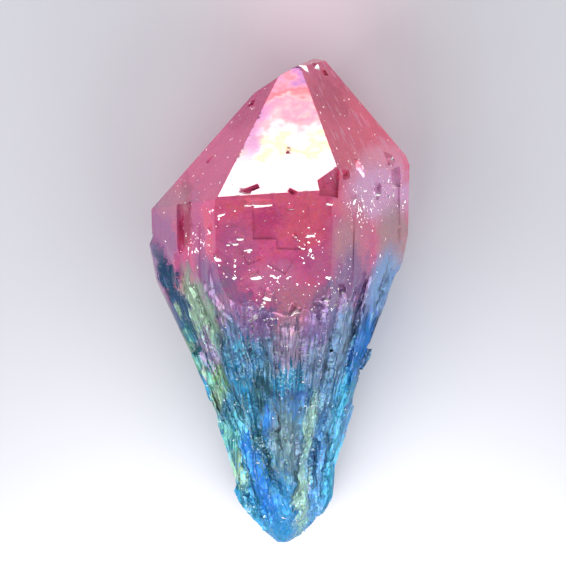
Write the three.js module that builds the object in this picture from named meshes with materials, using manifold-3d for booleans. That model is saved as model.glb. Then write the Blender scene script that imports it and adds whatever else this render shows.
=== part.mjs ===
// A natural quartz point with a colour-coated skin, lying on one of its prism faces.
// The head is six-sided, with flat termination faces that meet in a short worn ridge. Below the
// shoulder the prism faces break up into blades, which run down a long etched root to its blunt
// end. It is one solid. Units are millimetres: X right, Y along the crystal towards the point,
// Z up from the surface that it lies on.
import * as THREE from "three";
import { ConvexGeometry } from "three/addons/geometries/ConvexGeometry.js";
import { mergeVertices } from "three/addons/utils/BufferGeometryUtils.js";
import Module from "manifold-3d";

// Driving dimensions
const THICKNESS = 25; // from the resting face to the front prism face
const FRONT_SHOULDER = 12.3; // where the front termination face starts
const RHOMB_TILT = 38.2; // between a termination face's normal and its prism face's, in quartz
const ROOT_END = -27.9;
const BLADES_START = 9.5; // above this the blades lie outside the head's flat faces
const RING_STEP = 1.15; // between the root's cross-sections
const BLADE_JITTER = 0.3; // how far a blade's corner strays along the root, in ring steps
const RAGGED = 2.4; // how far one blade starts above or below another
const SPLINTER_ROOT = 2.4; // how deep a loose blade is set into the body
const SEED = 20;

const wasm = await Module();
wasm.setup();

// A repeatable random number from 0 to 1 for each pair of whole numbers.
function chance(a, b = 0) {
  let h = Math.imul(a + 101, 374761393) ^ Math.imul(b + 57 + SEED, 668265263);
  h = Math.imul(h ^ (h >>> 13), 1274126177);
  return ((h ^ (h >>> 16)) >>> 0) / 4294967296;
}

function toSolid(geometry) {
  const bare = geometry.clone();
  bare.deleteAttribute("normal");
  bare.deleteAttribute("uv");
  const merged = mergeVertices(bare, 1e-4);
  return new wasm.Manifold(
    new wasm.Mesh({
      numProp: 3,
      vertProperties: new Float32Array(merged.attributes.position.array),
      triVerts: new Uint32Array(merged.index.array),
    }),
  );
}

function toGeometry(solid) {
  const mesh = solid.getMesh();
  return new THREE.BufferGeometry()
    .setAttribute("position", new THREE.BufferAttribute(mesh.vertProperties, 3))
    .setIndex(new THREE.BufferAttribute(mesh.triVerts, 1));
}

// The value of a stepped table at y, in straight stretches between its [y, value] rows.
function along(table, y) {
  const next = table.findIndex(([at]) => at <= y);
  if (next === 0) return table[0][1];
  if (next < 0) return table[table.length - 1][1];
  const [highY, high] = table[next - 1];
  const [lowY, low] = table[next];
  return THREE.MathUtils.mapLinear(y, lowY, highY, low, high);
}

// ---- Head: a convex solid bounded by flat crystal faces ----

// A face's outward direction, from its compass bearing round the Y axis (0 faces up, 90 right)
// and its tilt towards the point.
function faceNormal(azimuth, tilt) {
  const turn = THREE.MathUtils.degToRad(azimuth);
  const lean = THREE.MathUtils.degToRad(tilt);
  return new THREE.Vector3(
    Math.sin(turn) * Math.cos(lean),
    Math.sin(lean),
    Math.cos(turn) * Math.cos(lean),
  );
}

function crystalFace(azimuth, tilt, ...place) {
  const normal = faceNormal(azimuth, tilt);
  return new THREE.Plane().setFromNormalAndCoplanarPoint(normal, new THREE.Vector3(...place));
}

const LEFT_CORNER = [-14.7, 10.6, 12];
const RIGHT_CORNER = [15.0, 15.2, 7.4];

const headFaces = [
  // termination faces
  crystalFace(-3, RHOMB_TILT, 0, FRONT_SHOULDER, THICKNESS),
  crystalFace(-63, RHOMB_TILT, ...LEFT_CORNER),
  crystalFace(60.3, 35.3, 14.6, 16.9, 6.5),
  crystalFace(-117, RHOMB_TILT, ...LEFT_CORNER),
  crystalFace(117, RHOMB_TILT, 14.5, 16.7, 6.1),
  crystalFace(180, RHOMB_TILT, 0, 20.4, 0),
  // small facets on the tip
  crystalFace(-92, 58, -2.9, 23.9, 10),
  crystalFace(20, 80, 4.2, 28.05, 6),
  // prism faces, which close in a little towards the root
  crystalFace(0, -1.5, 0, FRONT_SHOULDER, THICKNESS),
  crystalFace(-60, -1, ...LEFT_CORNER),
  crystalFace(63, -1, ...RIGHT_CORNER),
  crystalFace(-120, -1, ...LEFT_CORNER),
  crystalFace(117, -1, ...RIGHT_CORNER),
  crystalFace(180, 0, 0, 0, 0),
  crystalFace(0, -90, 0, ROOT_END - 2, 0),
];

// Worn undersides, which end the resting face short of the root, and planes clear of the
// crystal that close them.
const undersideFaces = [
  crystalFace(180, 0, 0, 0, 0),
  crystalFace(-170, -6.5, -2, -4, 0),
  crystalFace(170.5, -7.3, 3.5, -4, 0),
  crystalFace(180, -5, 0, -4, 0),
  crystalFace(0, 90, 0, 2 * THICKNESS, 0),
  crystalFace(0, -90, 0, -2 * THICKNESS, 0),
  crystalFace(-90, 0, -2 * THICKNESS, 0, 0),
  crystalFace(90, 0, 2 * THICKNESS, 0, 0),
  crystalFace(0, 0, 0, 0, 2 * THICKNESS),
];

// The corner where three planes meet, or null where two of them run side by side.
function corner(a, b, c) {
  const across = new THREE.Vector3().crossVectors(b.normal, c.normal);
  const volume = a.normal.dot(across);
  if (Math.abs(volume) < 1e-6) return null;
  return across
    .multiplyScalar(-a.constant)
    .addScaledVector(new THREE.Vector3().crossVectors(c.normal, a.normal), -b.constant)
    .addScaledVector(new THREE.Vector3().crossVectors(a.normal, b.normal), -c.constant)
    .divideScalar(volume);
}

function solidWithin(planes) {
  const corners = [];
  for (let i = 0; i < planes.length; i++)
    for (let j = i + 1; j < planes.length; j++)
      for (let k = j + 1; k < planes.length; k++) {
        const point = corner(planes[i], planes[j], planes[k]);
        const inside = point && planes.every((p) => p.distanceToPoint(point) < 1e-6);
        if (inside && !corners.some((c) => c.distanceTo(point) < 1e-3))
          corners.push(point);
      }
  return toSolid(new ConvexGeometry(corners));
}

// ---- Bladed body: rings of overlapping blades, from the blunt end to beyond the point ----

// Each outline is a list of [y, value] from the point down to the end. Above BLADES_START the
// body is wider than the head, so that only the head's flat faces show there.
const leftEdge = [
  [BLADES_START, -16.4], [7, -14.9], [5, -13.9], [2.4, -13.0], [-0.2, -11.8], [-2.8, -10.4],
  [-6.4, -9.1], [-10.3, -7.6], [-13, -6.6], [-17.7, -5.4], [-22, -4.4], [-24.4, -3.2],
  [-26.6, -1.5], [ROOT_END, -0.2],
];
const rightEdge = [
  [BLADES_START, 16.6], [7, 15.2], [3.6, 13.9], [1.8, 12.4], [-1.7, 11.0], [-6.4, 9.5],
  [-10, 8.4], [-14, 7.5], [-19, 5.9], [-22.6, 5.7], [-24.2, 5.2], [-25.2, 3.8], [-26.2, 3.4],
  [-27.4, 1.9], [ROOT_END, 0.9],
];
const topEdge = [
  [BLADES_START, 27.2], [3, 26.4], [-1, 25.3], [-4, 23.2], [-8, 20.2], [-12, 17.2],
  [-17, 13.8], [-22, 10.6], [-25, 8.6], [-26.8, 6.8], [ROOT_END, 5.2],
];
const bottomEdge = [
  [BLADES_START, -3], [0, -2.6], [-5, -1.4], [-10, 0.2], [-15, 1.1], [-20, 1.7], [-24, 2.3],
  [-26.6, 3.0], [ROOT_END, 3.9],
];
// 0 follows the prism's corners, 1 is an ellipse.
const roundness = [[BLADES_START, 0], [4, 0.15], [-3, 0.45], [-12, 0.75], [ROOT_END, 0.9]];

// The prism's corners, seen along the crystal, as shares of its half width and half height.
const prismCorners = [
  [1, -0.4], [0.42, 1], [-0.48, 1], [-1, -0.04], [-0.54, -1], [0.78, -1],
].map(([x, z]) => new THREE.Vector2(x, z));

// How far the prism's outline reaches from its centre at an angle.
function prismReach(angle) {
  const ray = new THREE.Vector2(Math.cos(angle), Math.sin(angle));
  let reach = 1;
  prismCorners.forEach((from, i) => {
    const side = prismCorners[(i + 1) % prismCorners.length].clone().sub(from);
    const across = ray.cross(side);
    const distance = from.cross(side) / across;
    const share = from.cross(ray) / across;
    if (distance > 0 && share >= 0 && share <= 1) reach = distance;
  });
  return reach;
}

// A point on the body at an angle in degrees. Its outline may be taken from another y.
function bodyPoint(degrees, y, lift, outlineY = y) {
  const angle = THREE.MathUtils.degToRad(degrees);
  const left = along(leftEdge, outlineY);
  const right = along(rightEdge, outlineY);
  const top = along(topEdge, outlineY);
  const bottom = along(bottomEdge, outlineY);
  const reach = THREE.MathUtils.lerp(prismReach(angle), 1, along(roundness, outlineY));
  return new THREE.Vector3(
    (left + right) / 2 + Math.cos(angle) * (reach * (right - left) / 2 + lift),
    y,
    (top + bottom) / 2 + Math.sin(angle) * (reach * (top - bottom) / 2 + lift),
  );
}

// Blades, anticlockwise from the right: the angle where each starts, how far its crest stands
// out, where the crest lies across it (0 at its start, 1 at its end), and how strongly it
// swells and breaks off in ledges along its length.
const blades = [
  [4, 0.5, 0.8, 0.4], [16, 0.6, 0.75, 0.35], [23, 0.4, 0.7, 0.3], [33, 0.7, 0.75, 0.35],
  [47, 0.3, 0.25, 0.3], [54, 0.5, 0.7, 0.4], [67, 0.3, 0.6, 0.3], [74, 0.4, 0.4, 0.5],
  [89, 0.2, 0.3, 0.5], [97, -0.5, 0.5, 0.4], [107, 0.3, 0.3, 0.6], [113, 0.2, 0.25, 0.7],
  [124, 0.6, 0.35, 0.7], [133, 0.4, 0.25, 0.9], [147, 0.8, 0.3, 0.9], [156, 0.5, 0.25, 0.9],
  [170, 0.8, 0.35, 0.8], [186, 0.6, 0.7, 0.6], [201, 0.9, 0.3, 0.7], [224, 0.6, 0.7, 0.6],
  [239, 0.5, 0.4, 0.5], [262, 0.4, 0.6, 0.5], [277, 0.4, 0.3, 0.6], [300, 0.6, 0.7, 0.6],
  [316, 0.8, 0.3, 0.7], [337, 0.6, 0.6, 0.6], [349, 0.7, 0.3, 0.5],
];

function bladeLift(blade, ring) {
  const [, crest, , ledge] = blades[blade];
  const run = 4 + Math.floor(chance(blade, 900) * 6);
  const shifted = ring + Math.floor(chance(blade, 901) * run);
  const stretch = Math.floor(shifted / run);
  const share = (shifted % run) / run;
  const swell = chance(blade, 500 + stretch) - 0.5;
  return crest * (1 + ledge * (1.2 * swell - share + 0.5));
}

// The corners of one ring: each blade gives its valley, its crest and one more between them.
function ringPoints(y, ring, stray) {
  const grown = THREE.MathUtils.smoothstep(BLADES_START - y, 0, 7);
  const taper = grown * Math.min(1, 0.25 + (y - ROOT_END) / 9);
  const ragged = RAGGED * THREE.MathUtils.smoothstep(y, -16, -4);
  return blades.flatMap(([start, , crestAt], blade) => {
    const end = blade + 1 < blades.length ? blades[blade + 1][0] : blades[0][0] + 360;
    const drift = 2.6 * Math.sin(ring * 0.13 + blade * 1.7);
    const lift = bladeLift(blade, ring);
    const upwards = Math.sin(THREE.MathUtils.degToRad(start)) ** 2;
    const outlineY = y + ragged * upwards * (2 * chance(blade, 42) - 1);
    const shares = [0, crestAt, crestAt < 0.5 ? 0.65 : 0.35].sort((a, b) => a - b);
    const heights = new Map([[0, -0.2 * chance(blade, 700 + ring)], [crestAt, lift]]);
    return shares.map((share) => {
      const height = heights.get(share) ?? lift * (0.45 + 0.3 * chance(blade, ring));
      const shift = stray * (2 * chance(blade * 7 + Math.round(share * 10), ring) - 1);
      const turn = THREE.MathUtils.lerp(start, end, share) + drift;
      return bodyPoint(turn, y + shift, height * taper, outlineY);
    });
  });
}

function bladedBody() {
  const steps = Math.round((BLADES_START - ROOT_END) / RING_STEP);
  const rings = [ringPoints(THICKNESS + 5, 0, 0)];
  for (let ring = 0; ring <= steps; ring++) {
    const y = THREE.MathUtils.lerp(BLADES_START, ROOT_END, ring / steps);
    rings.push(ringPoints(y, ring, ring > 0 && ring < steps ? RING_STEP * BLADE_JITTER : 0));
  }
  const around = rings[0].length;
  const places = rings.flat();
  const index = [];
  for (let ring = 0; ring + 1 < rings.length; ring++)
    for (let i = 0; i < around; i++) {
      const a = ring * around + i;
      const b = ring * around + ((i + 1) % around);
      index.push(a, b, a + around, b, b + around, a + around);
    }
  const lastRing = places.length - around;
  const topCentre = places.length;
  const endCentre = topCentre + 1;
  for (const ends of [rings[0], rings[rings.length - 1]])
    places.push(ends[0].clone().lerp(ends[Math.round(around / 2)], 0.5));
  for (let i = 0; i < around; i++) {
    const next = (i + 1) % around;
    index.push(topCentre, next, i);
    index.push(endCentre, lastRing + i, lastRing + next);
  }
  return toSolid(new THREE.BufferGeometry().setFromPoints(places).setIndex(index));
}

// ---- Loose blades that lie over the others ----

// Each is its angle and y at the head end and at the root end, its width and its height.
const splinters = [
  [171, 5.0, 158, -7.5, 1.9, 0.8], [160, 3.2, 146, -5.5, 1.7, 0.7], [163, -4.0, 147, -13.5, 1.6, 0.8],
  [150, -1.5, 139, -9.5, 1.5, 0.7], [141, 1.8, 131, -6.5, 1.6, 0.5], [152, -9.0, 136, -17.5, 1.5, 0.8],
  [138, -5.5, 124, -15.0, 1.4, 0.6], [167, -12.0, 150, -20.0, 1.4, 0.8], [145, -14.5, 128, -23.0, 1.4, 0.7],
  [130, -10.0, 117, -19.0, 1.2, 0.5], [158, -17.5, 140, -24.5, 1.3, 0.7], [127, -17.0, 112, -25.0, 1.2, 0.5],
  [126, -0.5, 119, -8.5, 1.3, 0.3], [116, -3.0, 112, -10.0, 1.1, 0.3], [80, -2.0, 79, -12.0, 1.5, 0.3],
  [62, 0.5, 66, -11.0, 1.3, 0.4], [66, -9.5, 72, -23.5, 1.2, 0.5], [50, 1.5, 57, -8.5, 1.4, 0.4],
  [38, 2.6, 47, -7.0, 1.6, 0.5], [44, -6.0, 54, -17.0, 1.4, 0.5], [27, 3.4, 36, -6.0, 1.5, 0.6],
  [24, -5.0, 36, -16.5, 1.5, 0.6], [14, -10.5, 27, -22.0, 1.4, 0.6], [196, 4.0, 208, -8.0, 2.2, 0.8],
  [214, -6.0, 224, -18.0, 1.8, 0.7], [330, 4.0, 318, -8.0, 2.2, 0.8], [340, -8.0, 325, -19.0, 1.8, 0.7],
  [245, -12.0, 256, -22.0, 1.6, 0.6], [300, -11.0, 290, -21.0, 1.6, 0.6],
];

function splinter([headAngle, headY, rootAngle, rootY, width, height]) {
  const sections = [[0, 0.1, 0.3], [0.25, 0.8, 0.9], [0.6, 1, 1], [1, 0.15, -0.4]];
  const corners = sections.flatMap(([share, wide, high]) => {
    const y = THREE.MathUtils.lerp(headY, rootY, share);
    const angle = THREE.MathUtils.lerp(headAngle, rootAngle, share);
    const reach = (along(rightEdge, y) - along(leftEdge, y)) / 2;
    const halfTurn = THREE.MathUtils.radToDeg((wide * width) / 2 / reach);
    return [
      bodyPoint(angle - halfTurn, y, 0),
      bodyPoint(angle + 0.3 * halfTurn, y, high * height),
      bodyPoint(angle + halfTurn, y, 0.2 * height),
      bodyPoint(angle, y, -SPLINTER_ROOT),
    ];
  });
  return toSolid(new ConvexGeometry(corners));
}

// ---- Blades and lumps that stand outside the prism ----

const outgrowths = [
  // long blade along the left edge
  [
    [-14.3, 8.0, 12.2], [-15.0, 6.4, 10.4], [-14.9, 6.6, 12.6], [-14.2, 2.4, 8.6], [-14.0, 2.6, 12.4],
    [-12.3, -1.2, 8.2], [-12.0, -1.0, 12.3], [-9.4, -7.6, 9.4], [-12.4, 5.0, 7.2], [-12.6, 6.5, 15.2],
    [-10.4, 0.0, 14.2],
  ],
  // shorter blade behind it
  [
    [-13.0, 3.4, 8.6], [-12.2, 0.0, 6.3], [-11.2, -2.8, 6.6], [-9.8, -5.6, 6.8], [-8.6, -9.2, 7.6],
    [-9.2, -3.0, 11.4], [-8.5, 2.0, 7.0],
  ],
  // long blade along the right edge
  [
    [13.5, 3.5, 8.6], [12.7, 1.7, 7.4], [12.8, 1.9, 9.8], [11.8, -0.7, 7.2], [11.8, -0.5, 10.2],
    [10.7, -3.9, 7.8], [10.7, -3.8, 9.8], [9.0, -8.6, 8.2], [9.0, -8.4, 9.4], [10.6, 4.2, 6.0],
    [10.6, 4.4, 12.6], [8.4, -4.0, 12.2], [8.2, -4.2, 6.0], [7.2, -10.6, 9.2],
  ],
  // two broken ends that stand out from it
  [
    [12.5, 0.7, 8.6], [12.3, 0.0, 7.8], [12.2, -0.2, 9.6], [11.3, -2.4, 8.8], [10.4, 0.8, 10.8],
    [10.2, -0.4, 6.8],
  ],
  [
    [10.7, -5.4, 8.4], [10.5, -6.4, 7.6], [10.4, -6.6, 9.2], [9.5, -8.0, 8.4], [8.6, -5.2, 10.4],
    [8.4, -6.2, 6.4],
  ],
];

// ---- Steps, notches and chips ----

// Each is a block cut out of the skin, given by the bearing and tilt of its floor, the place
// above its floor's middle, its width, its length, its depth there, and its turn in degrees.
const cuts = [
  // stepped windows on the front prism face
  [0, -1.5, -1.7, 8.7, 2.6, 3.3, 0.3, 0],
  [0, -1.5, -5.2, 9.9, 4.6, 2.7, 0.15, 1],
  [0, -1.5, 1.4, 8.0, 3.4, 4.2, 0.2, -1],
  [0, -1.5, 4.6, 9.4, 2.6, 2.8, 0.12, 3],
  [0, -1.5, -3.4, 5.6, 1.6, 2.6, 0.15, 24],
  [0, -1.5, 0.2, 4.4, 2.2, 1.8, 0.15, -32],
  // sunk strips on the side prism faces
  [-60, -1, -10.9, 6.4, 3.0, 9.4, 0.45, 0],
  [-60, -1, -8.7, 5.2, 1.5, 7.0, 0.12, 0],
  [63, -1, 12.9, 8.6, 4.4, 9.6, 0.22, 1],
  [63, -1, 8.0, 5.6, 2.2, 8.2, 0.12, -1],
  // step at the right end of the front termination face
  [24, 4, 5.7, 13.6, 2.5, 3.5, 0.75, -6],
  // broken ridge at the tip
  [-3, RHOMB_TILT, 3.0, 26.9, 1.7, 1.3, 0.2, -20],
  [-3, RHOMB_TILT, 4.4, 27.0, 1.1, 1.0, 0.2, 25],
  [40, 66, 5.3, 26.2, 0.9, 1.2, 0.2, 10],
  [-70, 45, -3.2, 22.7, 1.0, 1.0, 0.2, 25],
  // pits and nicks on the termination faces
  [-20, 10, -8.0, 16.2, 0.5, 0.9, 0.25, -30],
  [-20, 20, 1.0, 17.3, 0.3, 1.3, 0.15, 4],
  [10, 60, -3.4, 12.7, 2.3, 0.7, 0.3, 14],
  [-30, 55, 1.6, 12.4, 1.3, 0.6, 0.3, -10],
  [20, 60, 12.9, 16.4, 1.4, 1.6, 0.35, 20],
  [30, 15, 9.6, 15.2, 2.6, 1.6, 0.3, -20],
  [50, 55, 7.6, 14.2, 1.8, 1.2, 0.3, 15],
  [80, 20, 13.6, 14.2, 1.8, 2.0, 0.4, 10],
  // chips with a floor like the front termination face's
  [-3, RHOMB_TILT, -2.4, 10.9, 3.2, 1.2, 0.15, 0],
  [-3, RHOMB_TILT, 1.3, 10.3, 0.9, 0.9, 0.1, 20],
  [-3, RHOMB_TILT, 5.7, 11.0, 0.9, 0.9, 0.1, -15],
  [-3, RHOMB_TILT, 1.6, 7.1, 0.7, 1.5, 0.2, -35],
  [-3, RHOMB_TILT, 3.4, 7.5, 1.1, 0.7, 0.15, 25],
  [-3, RHOMB_TILT, -5.3, 6.5, 1.3, 0.6, 0.1, 15],
  [-3, RHOMB_TILT, -4.3, 7.1, 1.0, 0.7, 0.1, -10],
  [-3, RHOMB_TILT, -3.5, 5.8, 0.9, 0.8, 0.15, 20],
  [-3, RHOMB_TILT, -2.6, 2.8, 1.2, 1.4, 0.2, 30],
  [-3, RHOMB_TILT, -1.4, 0.4, 0.9, 1.5, 0.2, -15],
  [-3, RHOMB_TILT, 1.6, -1.2, 0.9, 1.8, 0.25, -30],
  [-3, RHOMB_TILT, -2.0, -1.9, 1.2, 1.0, 0.15, 15],
  [-3, RHOMB_TILT, -1.2, -4.4, 1.1, 0.8, 0.1, 0],
  [-3, RHOMB_TILT, 5.8, 0.2, 1.6, 1.2, 0.15, 10],
  [-3, RHOMB_TILT, 4.4, -0.4, 1.1, 0.9, 0.15, -20],
  [-3, RHOMB_TILT, 7.2, 1.1, 0.9, 1.0, 0.15, 30],
  [-3, RHOMB_TILT, -8.0, 8.0, 0.9, 0.8, 0.1, 0],
  [-3, RHOMB_TILT, -7.3, 5.0, 1.1, 1.1, 0.15, 25],
  [-3, RHOMB_TILT, -10.5, 5.7, 0.9, 1.4, 0.15, 0],
  [-3, RHOMB_TILT, -10.6, 10.4, 1.2, 0.8, 0.1, 10],
  [-3, RHOMB_TILT, 11.6, 12.4, 1.0, 1.6, 0.2, -25],
  [-3, RHOMB_TILT, 8.6, 11.4, 0.9, 1.1, 0.15, 35],
];

const BLOCK_HEIGHT = 2.5;

function cutBlock(skin, [azimuth, tilt, x, y, width, length, depth, turn]) {
  const above = new THREE.Vector3(x, y, 2 * THICKNESS);
  const ray = new THREE.Raycaster(above, new THREE.Vector3(0, 0, -1));
  const place = ray.intersectObject(skin)[0].point;
  const up = faceNormal(azimuth, tilt);
  const lengthwise = faceNormal(azimuth, tilt + 90);
  const crosswise = new THREE.Vector3().crossVectors(lengthwise, up);
  const block = new THREE.BoxGeometry(width, length, BLOCK_HEIGHT)
    .translate(0, 0, BLOCK_HEIGHT / 2 - depth)
    .rotateZ(THREE.MathUtils.degToRad(turn))
    .applyMatrix4(new THREE.Matrix4().makeBasis(crosswise, lengthwise, up))
    .translate(...place);
  return toSolid(block);
}

const whole = solidWithin(headFaces).intersect(bladedBody());
const grown = outgrowths
  .map((corners) => toSolid(new ConvexGeometry(corners.map((c) => new THREE.Vector3(...c)))))
  .concat(splinters.map(splinter))
  .reduce((rest, blade) => rest.add(blade), whole);
const skin = new THREE.Mesh(toGeometry(grown));
const crystal = cuts
  .map((cut) => cutBlock(skin, cut))
  .reduce((rest, block) => rest.subtract(block), grown)
  .intersect(solidWithin(undersideFaces));
const { min, max } = crystal.boundingBox();
const centred = crystal.translate([-(min[0] + max[0]) / 2, -(min[1] + max[1]) / 2, -min[2]]);

const quartz = new THREE.MeshStandardMaterial({ color: 0xc85a8c, roughness: 0.2, metalness: 0.1 });
const point = new THREE.Mesh(toGeometry(centred), quartz);
point.name = "crystal_point";

const group = new THREE.Group();
group.add(point);
export default group;
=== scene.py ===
# An aura quartz crystal that lies on a pale floor, seen from straight above.
# Places and sizes are in millimetres until metres() turns them.
import math
import bpy
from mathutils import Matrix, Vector


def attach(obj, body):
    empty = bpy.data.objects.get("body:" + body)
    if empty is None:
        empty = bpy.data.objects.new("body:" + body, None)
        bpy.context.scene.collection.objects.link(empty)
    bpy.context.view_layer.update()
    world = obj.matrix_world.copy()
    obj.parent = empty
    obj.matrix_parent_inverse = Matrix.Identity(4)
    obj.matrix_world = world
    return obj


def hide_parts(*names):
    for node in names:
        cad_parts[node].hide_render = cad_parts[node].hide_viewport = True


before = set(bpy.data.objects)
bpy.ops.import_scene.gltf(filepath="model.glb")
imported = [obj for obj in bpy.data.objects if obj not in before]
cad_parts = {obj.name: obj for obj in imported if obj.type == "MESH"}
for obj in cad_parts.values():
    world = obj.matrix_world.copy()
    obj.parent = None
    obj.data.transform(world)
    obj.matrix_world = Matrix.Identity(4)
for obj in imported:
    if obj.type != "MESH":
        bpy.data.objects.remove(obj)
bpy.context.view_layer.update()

scene = bpy.context.scene
millimetre = 0.001


def metres(*values):
    return tuple(v * millimetre for v in values)


palette = {  # screen colours of the coating, and of painted glints and highlights
    # the first colour here paints white glints on the small chips
    "glintWhite": "fffafc", "blush": "ffacc8", "lilac": "f4b8e4",
    "rose": "ff6ca8", "pink": "f088b8", "coral": "fc6c84", "salmon": "f4848c", "raspberry": "e04888",
    "crimson": "b42c5c", "mulberry": "cc6ca4", "orchid": "b078ac", "mauve": "dc8ca4", "dustyRose": "c0a0a4",
    "greyLilac": "a898bc", "violet": "8c70a8", "heather": "7488a8", "slateBlue": "447498",
    "cornflower": "549cd8", "azure": "0078d0", "ocean": "1488b4", "cyan": "44b4dc",
    "navy": "084870", "teal": "046478", "deepTeal": "005064", "slate": "6e8e96", "seaGreen": "68b4a4",
    "leaf": "80b080", "sage": "94bc9c", "lichen": "90b8ac", "frost": "b4dce8", "skyBlue": "8cb8ec",
    "cerulean": "2088c4", "lagoon": "60bcd4", "thistle": "967f9e", "powderBlue": "85a9cb", "denim": "3c70b0",
    "plateGap": "0c5060",
    # colours of the front termination face; the palest of them are painted highlight
    "petal": "ffd0d8", "apricot": "f8d0a8", "bloom": "f48ca4", "peach": "f0a4ac", "coralPink": "ec6c78",
}


def colour(name):  # a linear colour from a screen colour such as "d5658a" or its name
    code = palette.get(name, name)
    parts = [int(code[i:i + 2], 16) / 255 for i in (0, 2, 4)]
    return tuple(p / 12.92 if p <= 0.04045 else ((p + 0.055) / 1.055) ** 2.4 for p in parts) + (1,)


class Value:  # a number socket that takes part in sums
    def __init__(self, shader, socket):
        self.shader, self.socket = shader, socket

    def maths(self, operation, *others):
        values = {i: other for i, other in enumerate(others)}
        return self.shader.value("ShaderNodeMath", {"operation": operation}, values)

    def __add__(self, other):
        return self.maths("ADD", self, other)

    def __sub__(self, other):
        return self.maths("SUBTRACT", self, other)

    def __rsub__(self, other):
        return self.maths("SUBTRACT", other, self)

    def __mul__(self, other):
        return self.maths("MULTIPLY", self, other)

    def __truediv__(self, other):
        return self.maths("DIVIDE", self, other)

    def __rtruediv__(self, other):
        return self.maths("DIVIDE", other, self)

    __radd__ = __add__
    __rmul__ = __mul__

    def atLeast(self, other):
        return self.maths("MAXIMUM", self, other)

    def atMost(self, other):
        return self.maths("MINIMUM", self, other)

    def size(self):
        return self.maths("ABSOLUTE", self)

    def step(self, low, high):  # 0 below low, 1 above high, smooth between; low may be above high
        flipped = low > high
        ends = (high, low) if flipped else (low, high)
        settings = {"interpolation_type": "SMOOTHSTEP"}
        inputs = {"Value": self, "From Min": ends[0], "From Max": ends[1]}
        rise = self.shader.value("ShaderNodeMapRange", settings, inputs)
        return 1 - rise if flipped else rise


class Shader:  # the node tree of one material
    def __init__(self, name):
        self.material = bpy.data.materials.new(name)
        self.material.use_nodes = True
        self.nodes, self.links = self.material.node_tree.nodes, self.material.node_tree.links
        self.nodes.clear()
        self.output = self.nodes.new("ShaderNodeOutputMaterial")

    def node(self, kind, settings=None, inputs=None):
        made = self.nodes.new(kind)
        for key, setting in (settings or {}).items():
            if key == "stops":
                self.setStops(made.color_ramp, setting)
            else:
                setattr(made, key, setting)
        for key, given in (inputs or {}).items():
            given = getattr(given, "socket", given)
            if isinstance(given, bpy.types.NodeSocket):
                self.links.new(given, made.inputs[key])
            else:
                made.inputs[key].default_value = given
        return made

    def setStops(self, ramp, stops):
        while len(ramp.elements) < len(stops):
            ramp.elements.new(0.5)
        for element, (place, code) in zip(ramp.elements, stops):
            element.position, element.color = place, colour(code)

    def value(self, kind, settings, inputs, out=0):
        return Value(self, self.node(kind, settings, inputs).outputs[out])

    def vector(self, operation, *inputs, scale=None):
        values = dict(enumerate(inputs))
        if scale is not None:
            values["Scale"] = scale
        return self.node("ShaderNodeVectorMath", {"operation": operation}, values).outputs["Vector"]

    def place(self, x, y, z):
        return self.node("ShaderNodeCombineXYZ", {}, {"X": x, "Y": y, "Z": z}).outputs[0]

    def noise(self, at, scale, detail, rough=0.55):
        inputs = {"Vector": at, "Scale": scale, "Detail": detail, "Roughness": rough}
        return self.value("ShaderNodeTexNoise", {}, inputs, "Fac")

    def dot(self, first, second):
        settings = {"operation": "DOT_PRODUCT"}
        return self.value("ShaderNodeVectorMath", settings, {0: first, 1: second}, "Value")

    def facets(self, at, scale):  # small planes, each with a tilt of its own
        cells = self.node("ShaderNodeTexVoronoi", {"feature": "F1"}, {"Vector": at, "Scale": scale}).outputs
        lean = self.vector("SUBTRACT", cells["Color"], (0.5, 0.5, 0.5))
        return self.dot(self.vector("SUBTRACT", at, cells["Position"]), lean)

    def blend(self, share, under, over):
        settings = {"data_type": "RGBA", "clamp_factor": True}
        made = self.node("ShaderNodeMix", settings, {0: share, 6: under, 7: over})
        return made.outputs[2]

    def ramp(self, stops, share):
        return self.node("ShaderNodeValToRGB", {"stops": stops}, {"Fac": share}).outputs["Color"]

    def spots(self, x, y, places):  # 1 at the middle of the nearest spot, 0 beyond its radius
        total = 0
        for px, py, radius in places.values():
            dx, dy = (x - px) / radius, (y - py) / radius
            total = (1 - (dx * dx + dy * dy)).atLeast(total)
        return total

    def oval(self, at, px, py, across, along, turn):  # 1 in the middle, 0 at the edge, at any height
        inputs = {"Vector": at, "Location": (px, py, 12), "Rotation": (0, 0, math.radians(turn)),
                  "Scale": (across, along, 60)}
        placed = self.node("ShaderNodeMapping", {"vector_type": "TEXTURE"}, inputs).outputs[0]
        settings = {"gradient_type": "SPHERICAL"}
        return self.value("ShaderNodeTexGradient", settings, {"Vector": placed}, "Fac")

    def finish(self, surface, volume=None):
        self.links.new(surface.outputs[0], self.output.inputs["Surface"])
        if volume:
            self.links.new(volume.outputs[0], self.output.inputs["Volume"])
        return self.material


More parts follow.
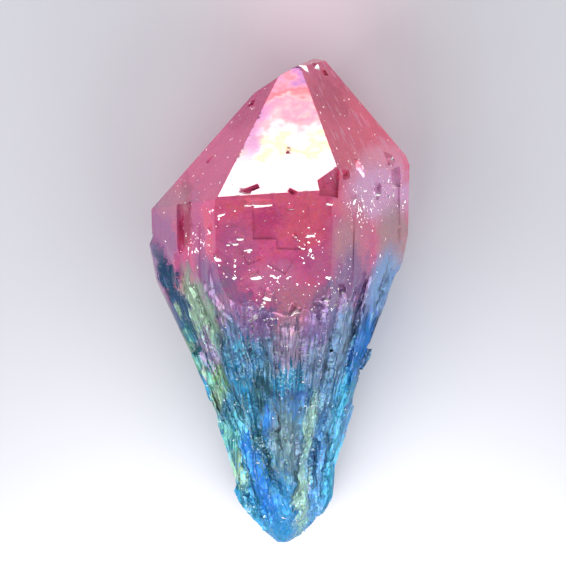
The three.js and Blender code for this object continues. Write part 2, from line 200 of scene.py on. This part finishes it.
coating = {
    # colours along the crystal, from the root (0) to the point (1), and the ends of that length in mm
    "length": [(0.0, "ocean"), (0.15, "ocean"), (0.41, "slateBlue"), (0.46, "violet"), (0.52, "mulberry"),
               (0.60, "rose"), (0.72, "coral"), (0.90, "rose"), (1.0, "salmon")],
    "lengthEnds": (-28, 28),
    "streakShift": 3.4, "cloudShift": 4.5,  # how far streaks and clouds shift those colours, in mm
    # mottling of the prism faces, of the root's middle, and of the blades of each flank
    "prism": [(0.30, "mulberry"), (0.42, "raspberry"), (0.52, "rose"), (0.64, "coral"), (0.75, "pink")],
    "middle": [(0.34, "navy"), (0.42, "ocean"), (0.50, "cornflower"), (0.57, "slate"), (0.66, "cyan")],
    "plates": [(0.0, "navy"), (0.20, "ocean"), (0.38, "seaGreen"), (0.55, "leaf"), (0.72, "sage"),
               (0.86, "greyLilac"), (1.0, "cyan")],
    "platesTurn": 20, "plateSize": (1.2, 4.5, 1.7),
    "rightBlades": [(0.34, "navy"), (0.44, "cornflower"), (0.52, "heather"), (0.60, "cyan"),
                    (0.70, "orchid")],
    # the front termination face, from its lower edge (0) to the point (1); its pale colours, mostly towards
    # the lower edge, are painted highlight that adds to the back lamp's reflection
    "front": [(0.0, "petal"), (0.26, "petal"), (0.36, "apricot"), (0.46, "petal"), (0.55, "peach"),
              (0.64, "bloom"), (0.72, "peach"), (0.80, "coralPink"), (0.88, "bloom"), (0.94, "orchid")],
    "frontEnds": (12.2, 27.0), "frontShift": 9.0,
}

# soft patches: colour, middle x and y, half width, half length, turn in degrees, strength; a few paint shade
# or sheen, as marked
patches = {
    "leftFace": ("rose", -9.5, 16.0, 6.5, 11.0, -38, 0.7),
    "leftTop": ("raspberry", -3.2, 22.8, 2.4, 5.0, -36, 0.9),
    "rightFace": ("coral", 9.0, 19.0, 6.0, 10.0, 38, 0.75),
    "rightTop": ("crimson", 5.6, 23.2, 2.2, 3.6, 40, 0.4),
    "rightFaceLow": ("blush", 11.6, 15.6, 4.0, 3.0, 30, 0.8),
    "leftStrip": ("orchid", -13.3, 7.5, 2.2, 7.5, 2, 0.9),
    "redStrip": ("crimson", -10.6, 9.8, 1.0, 5.0, 2, 0.9),
    "paleStrip": ("mulberry", -9.2, 7.5, 0.9, 7.5, 3, 0.7),
    # painted shade: the recessed window is painted darker red
    "windowRecessShade": ("raspberry", -1.7, 8.6, 1.9, 2.3, 0, 0.7),
    "redWindow": ("coral", 2.9, 8.6, 3.4, 3.8, 0, 0.6),
    "lowRight": ("mulberry", 5.0, 4.4, 3.2, 2.4, 0, 0.6),
    "lowLeft": ("orchid", -4.8, 6.0, 3.0, 4.0, 0, 0.4),
    "lowMiddle": ("pink", -0.6, 2.6, 3.8, 2.4, 0, 0.8),
    "lowBand": ("mauve", 2.2, 0.4, 4.4, 2.0, 0, 0.7),
    "paleShoulder": ("lilac", 11.8, 12.4, 5.2, 4.0, 0, 1.0),
    "leftShoulder": ("mauve", -12.2, 11.4, 2.4, 2.6, -30, 0.7),
    "brownFlank": ("dustyRose", 13.2, 7.0, 2.6, 5.2, 0, 0.85),
    "mauveFlank": ("mauve", 8.6, 7.2, 2.4, 5.6, 0, 0.6),
    "brownPatch": ("dustyRose", 7.4, 6.8, 2.2, 3.0, 0, 0.5),
    "violetFlank": ("violet", 8.2, 2.4, 2.6, 4.6, -8, 0.8),
    "violetStrip": ("violet", -8.0, 2.6, 1.6, 4.0, 14, 0.75),
    "leftRim": ("greyLilac", -14.2, 4.4, 0.8, 4.0, 14, 0.8),
    # the navy is partly painted shade, for a blade that faces sideways
    "leftBlade": ("navy", -11.7, 0.4, 1.1, 8.4, 24, 1.0),
    "bladeFoot": ("teal", -10.0, -4.4, 0.8, 3.0, 20, 1.0),
    "greenBlade": ("sage", -9.0, -0.8, 1.5, 5.8, 24, 0.9),
    "lilacPlates": ("greyLilac", -7.9, -5.8, 1.2, 3.2, 22, 0.9),
    "violetLeft": ("violet", -5.6, 0.2, 2.6, 4.6, 14, 0.6),
    "blueBand": ("slateBlue", -4.8, -3.6, 2.6, 2.6, 8, 0.7),
    "violetMiddle": ("violet", -2.4, -2.2, 3.0, 2.4, 0, 0.8),
    "cyanFleck": ("cyan", -4.3, -4.8, 0.8, 1.4, 20, 0.8),
    "pinkTongue": ("mauve", 1.2, -1.8, 2.4, 2.6, 0, 0.75),
    "lilacMiddle": ("thistle", 1.2, -5.0, 2.8, 4.0, 0, 0.85),
    "violetRight": ("violet", 4.6, -2.4, 2.2, 4.6, -8, 0.8),
    "heatherBand": ("heather", 4.2, -7.2, 1.8, 3.4, -6, 0.85),
    "azureBand": ("ocean", 0.8, -9.0, 2.6, 1.9, 0, 0.9),
    "blueBlade": ("ocean", -4.5, -9.6, 1.1, 4.6, 30, 0.9),
    "tealHollow": ("deepTeal", -2.1, -10.2, 1.3, 3.2, 4, 1.0),
    "royalMiddle": ("denim", 1.5, -11.4, 2.0, 1.9, 0, 0.85),
    "azureMiddle": ("azure", -1.1, -14.0, 1.0, 2.6, 0, 0.95),
    "slateMiddle": ("slate", 0.6, -16.2, 2.2, 5.6, 4, 0.9),
    "heatherStreak": ("heather", 1.9, -17.2, 0.6, 1.8, 0, 0.7),
    "greenPlateTop": ("leaf", -6.9, -9.2, 0.9, 2.2, 28, 0.95),
    "greenPlate": ("sage", -7.2, -11.4, 0.9, 1.6, 20, 0.9),
    "tealPlate": ("teal", -4.9, -12.2, 1.4, 0.9, -20, 0.95),
    "seaBlades": ("lagoon", -4.5, -13.9, 1.2, 2.2, 24, 0.9),
    "seaPlate": ("seaGreen", -5.7, -15.8, 1.1, 3.0, 20, 0.9),
    "tealBand": ("teal", -2.0, -17.2, 1.0, 5.0, 14, 0.95),
    "blueSliver": ("azure", -3.7, -16.4, 0.7, 1.8, 16, 0.9),
    "palePlate": ("sage", -4.8, -19.8, 1.1, 2.8, 15, 0.95),
    "cyanBlade": ("cyan", -4.2, -18.2, 0.6, 3.2, 18, 0.9),
    "cyanFoot": ("ocean", -2.8, -24.4, 1.4, 3.0, 30, 0.85),
    # painted contact shade along the lower left edge of the root's end
    "footContactShade": ("teal", -4.0, -23.4, 0.6, 3.2, 28, 0.8),
    "azureRib": ("azure", -1.9, -21.6, 1.2, 6.2, 20, 1.0),
    "blueRib": ("cerulean", 0.6, -23.8, 1.1, 4.4, 4, 0.85),
    # the pale ribs' colour is partly a painted sheen
    "paleRib": ("lichen", 2.5, -22.6, 0.95, 5.0, -1, 1.0),
    "paleStreak": ("lichen", 3.4, -14.4, 0.75, 5.2, -8, 0.95),
    "periwinkleRib": ("cornflower", 4.4, -19.6, 1.1, 6.4, -4, 0.9),
    "cyanEdge": ("cyan", 6.1, -18.4, 1.0, 5.4, -12, 0.8),
    "tealEdge": ("ocean", 5.6, -22.4, 0.8, 2.6, -6, 0.8),
    "cyanFlank": ("cyan", 7.2, -11.0, 1.2, 5.0, -18, 0.9),
    "blueFlank": ("azure", 9.6, -4.4, 1.2, 6.0, -20, 0.9),
    "slateFlank": ("powderBlue", 7.0, -4.4, 1.4, 5.4, -14, 0.7),
    "blueShoulder": ("skyBlue", 12.0, 2.0, 2.2, 5.4, -16, 1.0),
    "rootEnd": ("cerulean", 0.4, -26.2, 1.6, 2.4, 0, 0.95),
}

# furrows between the blades of the root, sunk by the bump and painted darker as shade: middle x and y, half
# width, half length, turn in degrees
furrows = {
    "paleRibLeft": (2.0, -20.4, 0.35, 6.4, -5), "paleRibRight": (3.9, -18.2, 0.3, 7.0, -5),
    "azureRibRight": (-1.0, -19.4, 0.4, 6.0, 20), "azureRibLeft": (-3.4, -21.0, 0.35, 5.8, 19),
    "leftGap": (-7.0, -12.0, 0.35, 2.8, 24), "longGap": (-4.9, -12.0, 0.4, 4.2, 28),
    "upperGap": (-6.8, -3.6, 0.4, 4.8, 8), "greenEdge": (-8.8, -0.6, 0.35, 4.8, 24),
    "rightGap": (7.9, -4.0, 0.3, 7.2, -16), "outerGap": (10.8, -3.4, 0.3, 6.6, -18),
    "innerGap": (5.4, -6.2, 0.4, 5.0, -10), "edgeGap": (5.5, -18.0, 0.35, 6.0, -8),
    "shoulderGap": (11.8, 1.6, 0.25, 4.8, -18), "middleGap": (0.0, -15.4, 0.25, 4.2, 4),
}

# where the small chips, painted white as glints, come more often, and where the surface is etched: middle x
# and y, and radius
glintSpots = {
    "bandRight": (6.0, 0.6, 3.4), "middle": (-0.6, 1.8, 3.2), "bandLeft": (-4.6, 4.2, 2.6),
    "leftShoulder": (-9.4, 6.0, 2.4), "rightShoulder": (9.4, 10.4, 3.2), "rightRim": (12.8, 12.4, 3.0),
    "windowEdge": (3.4, 6.4, 2.2), "leftBand": (-6.6, 9.6, 1.6), "violetEdge": (-2.4, -1.4, 2.6),
}
etching = {
    "upperRoot": (-2.2, -5.4, 3.6), "hollowEdge": (0.6, -8.8, 2.4), "leftTail": (-2.0, -16.8, 1.9),
    "rightRoot": (4.6, -11.4, 2.0), "foot": (-3.6, -24.2, 1.3),
}
frontFacing = Vector((-0.0411, 0.6184, 0.7848))  # the way the front termination face looks

# noises that follow the fan of the blades: how many to a mm across and along, detail, roughness
streaksAlong = {
    "broad": (0.55, 0.07, 1, 0.55), "streaks": (1.9, 0.16, 2, 0.6), "fine": (2.8, 0.3, 1, 0.6),
}
# even noises: how many to a mm, detail, roughness
grain = {"mottle": (0.42, 2, 0.6), "specks": (3.2, 2, 0.7), "chips": (1.7, 2, 0.7)}

bumps = {  # depths in mm: what the root has more, and what the whole crystal has
    "streaks": (0.14, 0.01), "fine": (0.10, 0), "specks": (0.10, 0.01), "facets": (0.03, 0.02),
    "mottle": 0.06, "furrows": 0.4, "facetsPerMm": 2.4, "strength": 0.9,
}

quartz = {
    "IOR": 1.544, "Specular IOR Level": 0.22, "Transmission Weight": 0.5,
    "Coat Roughness": 0.04, "Coat IOR": 2.2,
}
absorption = {"Color": (0.92, 0.75, 0.88, 1), "Density": 25.0}


class CoatedQuartz(Shader):  # clear quartz under its coating
    def __init__(self, frontPlane):
        super().__init__("coated_quartz")
        coordinates = self.node("ShaderNodeTexCoord").outputs
        self.at = self.vector("SCALE", coordinates["Object"], scale=1 / millimetre)
        split = self.node("ShaderNodeSeparateXYZ", {}, {"Vector": self.at}).outputs
        self.x, self.y, self.z = (Value(self, split[i]) for i in range(3))
        self.makeGrain()
        self.findZones()
        self.findFrontAndGlints(coordinates["Normal"], frontPlane)

    def makeGrain(self):  # the noises that the colours and the relief share
        x, y, z = self.x, self.y, self.z
        # the blades fan out from the root, so the streaks do too
        spread = ((y + 33) / 37).atLeast(0.5).atMost(1)
        axisHeight = 12.5 - (4 - y).atLeast(0) * 0.25
        fan = self.place(x / spread, y, (z - axisHeight) / spread)
        for name, (across, along, detail, rough) in streaksAlong.items():
            stretched = self.vector("MULTIPLY", fan, (across, along, across))
            setattr(self, name, self.noise(stretched, 1.0, detail, rough))
        self.mottle = self.noise(self.at, *grain["mottle"])
        self.specks = self.noise(self.at, *grain["specks"])
        self.cloud = self.mottle - 0.5

    def findZones(self):  # where the root and its fibres are, and the furrows between its blades, which are sunk and painted with shade
        x, y = self.x, self.y
        self.low = (y - x.size() * 0.4 + 3).step(4, -4)
        self.fibrous = self.low * (1 - y.step(-11, -20) * 0.6)
        streakShift, cloudShift = 2 * coating["streakShift"], 2 * coating["cloudShift"]
        self.shift = (self.streaks - 0.5) * streakShift + self.cloud * cloudShift
        self.root = (y + self.shift).step(2, -5)
        self.etched = self.spots(x, y, etching)
        self.sunkWithPaintedShade = 0
        wavy = self.vector("ADD", self.at, self.place(self.cloud * 2.4, 0, 0))
        for px, py, across, along, turn in furrows.values():
            self.sunkWithPaintedShade = self.oval(wavy, px, py, across, along, turn).atLeast(self.sunkWithPaintedShade)

    def findFrontAndGlints(self, normal, frontPlane):  # the front termination face, and the small chips, which are painted white as glints
        x, y = self.x, self.y
        facing = self.dot(normal, frontFacing)
        depth = (self.dot(self.at, frontFacing) - frontPlane).size()
        self.front = depth.step(0.20, 0.08) * facing.step(0.86, 0.94)
        self.mirrors = facing.step(0.96, 0.99) * (y + x.size() * 0.3).step(-6, -4)
        # the chips are painted white in the base colour, a painted glint; the spots make them more frequent
        glintChance = self.noise(self.at, *grain["chips"]) + self.spots(x, y, glintSpots) * 0.11
        self.chips = glintChance.step(0.70, 0.72).atLeast(self.mirrors)
        self.tilted = (self.chips - self.mirrors) * (1 - self.root)

    def zoneColours(self):  # along the length, then on the prism, the middle and the two flanks
        x, y, along = self.x, self.y, self.y + self.shift
        first, last = coating["lengthEnds"]
        base = self.ramp(coating["length"], (along - first) / (last - first))
        prism = self.ramp(coating["prism"], self.mottle)
        base = self.blend((1 - self.root) * 0.55, base, prism)
        middle = self.ramp(coating["middle"], (self.mottle + self.broad) * 0.5)
        base = self.blend(along.step(-3, -9) * x.step(-5.5, -3) * x.step(5.5, 3) * 0.7, base, middle)
        blades = self.ramp(coating["rightBlades"], (self.streaks + self.fine) * 0.5)
        side = x - y * 0.12
        base = self.blend(along.step(5, -2) * side.step(3, 6) * 0.75, base, blades)
        return self.blend(along.step(5, -3) * side.step(-4.5, -7) * 0.85, base, self.plates())

    def plates(self):  # long slanted cells of one colour each, with dark gaps
        turned = {"Vector": self.at, "Rotation": (0, 0, math.radians(coating["platesTurn"])),
                  "Scale": coating["plateSize"]}
        slanted = self.node("ShaderNodeMapping", {"vector_type": "TEXTURE"}, turned).outputs[0]
        placed = {"Vector": slanted, "Scale": 1.0}
        cells = self.node("ShaderNodeTexVoronoi", {"feature": "F1"}, placed).outputs
        chosen = self.value("ShaderNodeSeparateColor", {}, {"Color": cells["Color"]})
        gaps = self.value("ShaderNodeTexVoronoi", {"feature": "DISTANCE_TO_EDGE"}, placed)
        colours = self.ramp(coating["plates"], chosen + (self.specks - 0.5) * 0.4)
        return self.blend(gaps.step(0.07, 0.01) * 0.6, colours, colour("plateGap"))

    def addPatches(self, base, hues):  # with edges that the streaks and the hues break up
        ragged = (self.fine - 0.5) * self.root
        frayed = self.place(ragged * 1.8 + self.cloud * 2, ragged * 6 + self.shift * 0.25, 0)
        loose = self.vector("ADD", self.at, self.vector("MULTIPLY", hues, (1.0, 2.0, 0)))
        loose = self.vector("ADD", loose, frayed)
        for name, px, py, across, along, turn, strength in patches.values():
            share = self.oval(loose, px, py, across, along, turn)
            base = self.blend((share * (2.2 * strength)).atMost(strength), base, colour(name))
        return base

    def addStreaks(self, base):  # on the root, painted shade in the grooves and the furrows, painted light and a pale frost on the fibres; scratches on the right face
        x, y, z, fine = self.x, self.y, self.z, self.fine
        # darker where the fine bump sinks and lighter where it rises, painted shade and light that follow
        # the relief; the furrows are painted darker by up to a half
        paintedReliefShade = fine.step(0.43, 0.36) * 0.55 - fine.step(0.56, 0.68) * 0.35
        base = self.vector("SCALE", base, scale=1 - paintedReliefShade * self.fibrous - self.sunkWithPaintedShade * 0.5)
        base = self.blend(fine.step(0.58, 0.68) * self.low * 0.14, base, colour("frost"))
        scratches = self.noise(self.place(x * 3 + y * 1.4, y * 0.4, z * 0.4), 1.0, 1).step(0.58, 0.70)
        return self.blend(scratches * x.step(3, 5) * y.step(12, 15) * 0.6, base, colour("blush"))

    def addFrost(self, base, hues):  # a fine frost of many hues, then etched flecks on the root
        frost = self.root * 0.1 + 0.7
        tint = self.vector("MULTIPLY", hues, self.place(frost, frost, frost))
        base = self.vector("MULTIPLY", base, self.vector("ADD", tint, (1, 1, 1)))
        base = self.vector("ADD", base, self.vector("SCALE", hues, scale=0.05))
        base = self.vector("MAXIMUM", base, (0.004, 0.004, 0.004))
        flecks = (self.specks + self.etched * 0.14).step(0.66, 0.74)
        return self.blend(flecks * self.low * 0.6, base, colour("frost"))

    def frontColoursAndHighlight(self):  # the front termination face: pale colours that are painted highlight, an orchid rim and darker specks
        x, y = self.x, self.y
        first, last = coating["frontEnds"]
        height = (y + self.cloud * coating["frontShift"] - first) / (last - first)
        rim = (x - y * 0.29 + 9 + self.cloud * 4).step(2.0, 0.4) * y.step(15, 18)
        shades = self.blend(rim * 0.85, self.ramp(coating["front"], height), colour("orchid"))
        return self.blend(self.specks.step(0.67, 0.70) * 0.6, shades, colour("mulberry"))

    def baseColour(self):
        squeezed = self.place(self.x, self.y * (1 - self.low * 0.65), self.z)
        inputs = {"Vector": squeezed, "Scale": 4.4, "Detail": 1, "Roughness": 0.7}
        hues = self.node("ShaderNodeTexNoise", {}, inputs).outputs["Color"]
        hues = self.vector("SUBTRACT", hues, (0.5, 0.5, 0.5))
        base = self.addStreaks(self.addPatches(self.zoneColours(), hues))
        # painted glints: the chips turn white
        base = self.blend(self.chips, self.addFrost(base, hues), colour("glintWhite"))
        # the front termination face takes its colours, with their painted highlight
        return self.blend(self.front, base, self.frontColoursAndHighlight())

    def bumpDepth(self, name, zone):
        onRoot, everywhere = bumps[name]
        return zone * onRoot + everywhere

    def surfaceNormal(self):
        height = self.streaks * self.bumpDepth("streaks", self.fibrous)
        height = height + self.fine * self.bumpDepth("fine", self.fibrous) + self.mottle * bumps["mottle"]
        height = height + self.specks * self.bumpDepth("specks", self.etched * self.low)
        height = height + self.facets(self.at, bumps["facetsPerMm"]) * self.bumpDepth("facets", self.fibrous)
        height = height - self.sunkWithPaintedShade * bumps["furrows"]
        inputs = {"Strength": bumps["strength"], "Distance": millimetre, "Height": height}
        bump = self.node("ShaderNodeBump", {}, inputs)
        # the small chips look the way that the front termination face does, so they flash with it
        towards = {0: self.tilted, 4: bump.outputs[0], 5: frontFacing}
        return self.node("ShaderNodeMix", {"data_type": "VECTOR"}, towards).outputs[1]

    def build(self):
        low, shiny = self.low, self.front.atLeast(self.mirrors).atLeast(self.tilted)
        surface = self.node("ShaderNodeBsdfPrincipled", {}, {
            "Base Color": self.baseColour(),
            "Roughness": (self.specks * 0.12 + low * 0.34 + 0.02).atMost(0.6),
            "Metallic": (self.broad * 0.3 + low * 0.25 + shiny * 0.7).atMost(1),
            "Coat Weight": (1 - self.front) * self.chips * 0.5 + (1 - low) * 0.06 + 0.02,
            "Normal": self.surfaceNormal(), **quartz,
        })
        print("material: coated quartz")
        return self.finish(surface, self.node("ShaderNodeVolumeAbsorption", {}, absorption))


crystal = {
    "depth": 8, "fill": 0.88,  # the mesh is divided into 2 ** depth / fill steps along the crystal
    "mergeWithin": 0.001, "sharpAngle": 32,
    "slice": 0.5,  # mm of length over which the outline is kept
    "smoothing": 0.35, "rootSmoothing": 0.5, "rootRounds": 5,  # the share of each round of smoothing
    # the relief fades out towards the floor, the outline and the root's end: none and all of it, in mm
    "floorFade": (0.2, 1.5), "outlineFade": (0.1, 1.5), "endFade": (-27.9, -26.5),
}


def fade(value, none, full):  # 0 at none, 1 at full
    return min(max((value - none) / (full - none), 0), 1)


# where each kind of relief is deep, from x, y and z in mm
zones = {
    "tailEnd": lambda x, y, z: fade(y, -23, -25),
    "root": lambda x, y, z: fade(y - abs(x) * 0.4, 2, -4),
    "leftRoot": lambda x, y, z: fade(y, 3, -4) * fade(x, 0, -4),
    "middleRoot": lambda x, y, z: fade(y, 2, -5) * fade(abs(x), 5, 2),
    "rightRoot": lambda x, y, z: fade(y, 5, -4) * fade(x, 0, 4),
    "tail": lambda x, y, z: fade(y, -4, -14),
    "crushed": lambda x, y, z: max(fade(math.dist((x, y), (12.2, 13.4)), 4.6, 2.5),
                                   fade(math.dist((x, y), (-2.2, -5.8)), 3.0, 1.6) * 0.4),
}

# each relief: texture, size of its features across, along and up, turn, depth, zone
reliefs = {
    "scales": ("VORONOI", (1.9, 6.5, 1.9), 20, 0.35, "leftRoot"),
    "leftStreaks": ("CLOUDS", (1.0, 9.0, 1.0), 19, 0.35, "leftRoot"),
    "middleStreaks": ("CLOUDS", (1.4, 12.0, 1.4), 3, 0.18, "middleRoot"),
    "rightBlades": ("CLOUDS", (1.5, 16.0, 1.5), -14, 0.6, "rightRoot"),
    "rightStreaks": ("CLOUDS", (0.8, 9.0, 0.8), -13, 0.25, "rightRoot"),
    "ribs": ("CLOUDS", (1.8, 18.0, 1.8), 4, 0.35, "tail"),
    "crushing": ("VORONOI", (0.9, 0.9, 0.9), 0, 0.3, "crushed"),
}


def startFromNode(node, name):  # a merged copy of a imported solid
    bpy.ops.object.select_all(action="DESELECT")
    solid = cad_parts[node]
    solid.select_set(True)
    bpy.context.view_layer.objects.active = solid
    bpy.ops.object.duplicate()
    piece = bpy.context.active_object
    piece.parent = None
    piece.name = piece.data.name = name
    for key in list(piece.keys()):
        del piece[key]
    bpy.ops.object.mode_set(mode="EDIT")
    bpy.ops.mesh.select_all(action="SELECT")
    bpy.ops.mesh.remove_doubles(threshold=crystal["mergeWithin"] * millimetre)
    bpy.ops.object.mode_set(mode="OBJECT")
    return piece


def applied(piece, kind, **settings):
    modifier = piece.modifiers.new(kind.lower(), kind)
    for key, setting in settings.items():
        setattr(modifier, key, setting)
    bpy.ops.object.modifier_apply(modifier=modifier.name)


def reaches(piece):  # the lowest and highest x of each slice of the piece, seen from above
    found = {}
    for vertex in piece.data.vertices:
        x, y = (v / millimetre for v in vertex.co[:2])
        key = math.floor(y / crystal["slice"])
        lowest, highest = found.get(key, (x, x))
        found[key] = (min(lowest, x), max(highest, x))
    return found


def insideEdge(reach, x, y):  # how far a place lies inside the outline seen from above
    at = y / crystal["slice"] - 0.5
    key = math.floor(at)
    near = reach.get(key) or reach[key + 1]
    after = reach.get(key + 1) or near
    lowest, highest = (a + (b - a) * (at - key) for a, b in zip(near, after))
    return min(x - lowest, highest - x)


def weigh(piece, name, zone, reach=None):  # a vertex group that fades out at the floor and the outline
    group = piece.vertex_groups.new(name=name)
    for vertex in piece.data.vertices:
        x, y, z = (v / millimetre for v in vertex.co)
        weight = zones[zone](x, y, z) * fade(z, *crystal["floorFade"])
        if weight > 0 and reach:
            weight *= fade(y, *crystal["endFade"])
            weight *= fade(insideEdge(reach, x, y), *crystal["outlineFade"])
        if weight > 0:
            group.add([vertex.index], weight, "REPLACE")
    return group


def carve(piece, reach, name, kind, size, turn, depth, zone):
    group = weigh(piece, name, zone, reach)
    bpy.ops.object.empty_add(rotation=(0, 0, math.radians(turn)))
    guide = bpy.context.active_object
    guide.scale = metres(*size)
    bpy.context.view_layer.update()
    texture = bpy.data.textures.new(name, kind)
    texture.noise_scale = 1
    if kind == "VORONOI":
        texture.weight_1, texture.weight_2 = -1, 1
    else:
        texture.noise_depth = 0
    bpy.context.view_layer.objects.active = piece
    applied(piece, "DISPLACE", texture=texture, texture_coords="OBJECT", texture_coords_object=guide,
            vertex_group=group.name, strength=depth * millimetre, mid_level=1)
    bpy.data.objects.remove(guide)
    bpy.data.textures.remove(texture)


def makeCrystal():
    piece = startFromNode("crystal_point", "crystal")
    frontPlane = max(frontFacing.dot(vertex.co) for vertex in piece.data.vertices) / millimetre
    applied(piece, "REMESH", mode="SHARP", octree_depth=crystal["depth"], scale=crystal["fill"])
    reach = reaches(piece)
    for name, relief in reliefs.items():
        carve(piece, reach, name, *relief)
    applied(piece, "SMOOTH", factor=crystal["smoothing"], iterations=1)
    for softened in (weigh(piece, "softened", "root", reach), weigh(piece, "end", "tailEnd")):
        applied(piece, "SMOOTH", factor=crystal["rootSmoothing"], iterations=crystal["rootRounds"],
                vertex_group=softened.name)
    piece.vertex_groups.clear()
    bpy.ops.object.select_all(action="DESELECT")
    piece.select_set(True)
    bpy.ops.object.shade_smooth_by_angle(angle=math.radians(crystal["sharpAngle"]))
    piece.data.materials.clear()
    piece.data.materials.append(CoatedQuartz(frontPlane).build())
    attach(piece, "root")
    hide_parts("crystal_point")
    print("crystal:", len(piece.data.polygons), "faces")
    return piece


makeCrystal()


studio = {
    "floorSize": 900, "floorTop": -0.05, "floorColour": "c7c7cc", "floorRoughness": 0.9,
    "worldColour": "e8ebf2", "worldStrength": 0.52,
    "cameraHeight": 800, "viewWidth": 65.1, "viewHeight": 10, "aim": (0.40, 2.05), "farthest": 10000,
    "bounces": 3,
}

# each lamp: place, what it points at, width, height, radiance, spread in degrees, colour
lamps = {
    "keyLeft": ((-120, -130, 150), (0, 0, 10), 200, 160, 4.2, 180, "ffffff"),
    "keyRight": ((130, -120, 150), (0, 0, 10), 200, 160, 2.7, 180, "ffffff"),
    "tailGlow": ((4, -52, 62), (4, -52, 0), 70, 40, 2.4, 90, "ffffff"),
    "back": ((-5, 102, 52), (-5, 0, 52), 60, 56, 0.39, 80, "fffaf4"),
    "sideLeft": ((-110, 70, 34), (-6, 15, 14), 60, 40, 1.35, 70, "ffffff"),
    "sideRight": ((110, 76, 34), (8, 17, 14), 60, 40, 1.35, 70, "ffffff"),
    "pointGlow": ((4, 35, 9), (4, 35, 0), 16, 10, 0.7, 180, "ff6888"),
}


def makeFloor():
    bpy.ops.object.select_all(action="DESELECT")
    middle = metres(0, 0, studio["floorTop"])
    bpy.ops.mesh.primitive_plane_add(size=studio["floorSize"] * millimetre, location=middle)
    floor = bpy.context.active_object
    floor.name = "floor"
    s = Shader("floor")
    plain = {"Base Color": colour(studio["floorColour"]), "Roughness": studio["floorRoughness"]}
    floor.data.materials.append(s.finish(s.node("ShaderNodeBsdfPrincipled", {}, plain)))


def makeLamps():
    for name, (place, target, width, height, radiance, spread, code) in lamps.items():
        data = bpy.data.lights.new(name, "AREA")
        data.shape, data.size, data.size_y = "RECTANGLE", width * millimetre, height * millimetre
        data.energy = radiance * math.pi * data.size * data.size_y
        data.spread, data.color = math.radians(spread), colour(code)[:3]
        lamp = bpy.data.objects.new(name, data)
        lamp.location = metres(*place)
        towards = Vector(metres(*target)) - lamp.location
        lamp.rotation_euler = towards.to_track_quat("-Z", "Y").to_euler()
        scene.collection.objects.link(lamp)
    world = bpy.data.worlds.new("studio")
    world.use_nodes = True
    background = world.node_tree.nodes["Background"]
    background.inputs["Color"].default_value = colour(studio["worldColour"])
    background.inputs["Strength"].default_value = studio["worldStrength"]
    scene.world = world


def makeCamera():
    data = bpy.data.cameras.new("camera")
    data.lens = data.sensor_width * studio["cameraHeight"] / studio["viewWidth"]
    data.clip_end = studio["farthest"] * millimetre
    camera = bpy.data.objects.new("camera", data)
    camera.location = metres(*studio["aim"], studio["cameraHeight"] + studio["viewHeight"])
    scene.collection.objects.link(camera)
    scene.camera = camera


makeFloor()
makeLamps()
makeCamera()
scene.view_settings.view_transform = "Standard"
scene.cycles.use_denoising = True
scene.cycles.max_bounces = scene.cycles.transmission_bounces = studio["bounces"]
print("studio ready")
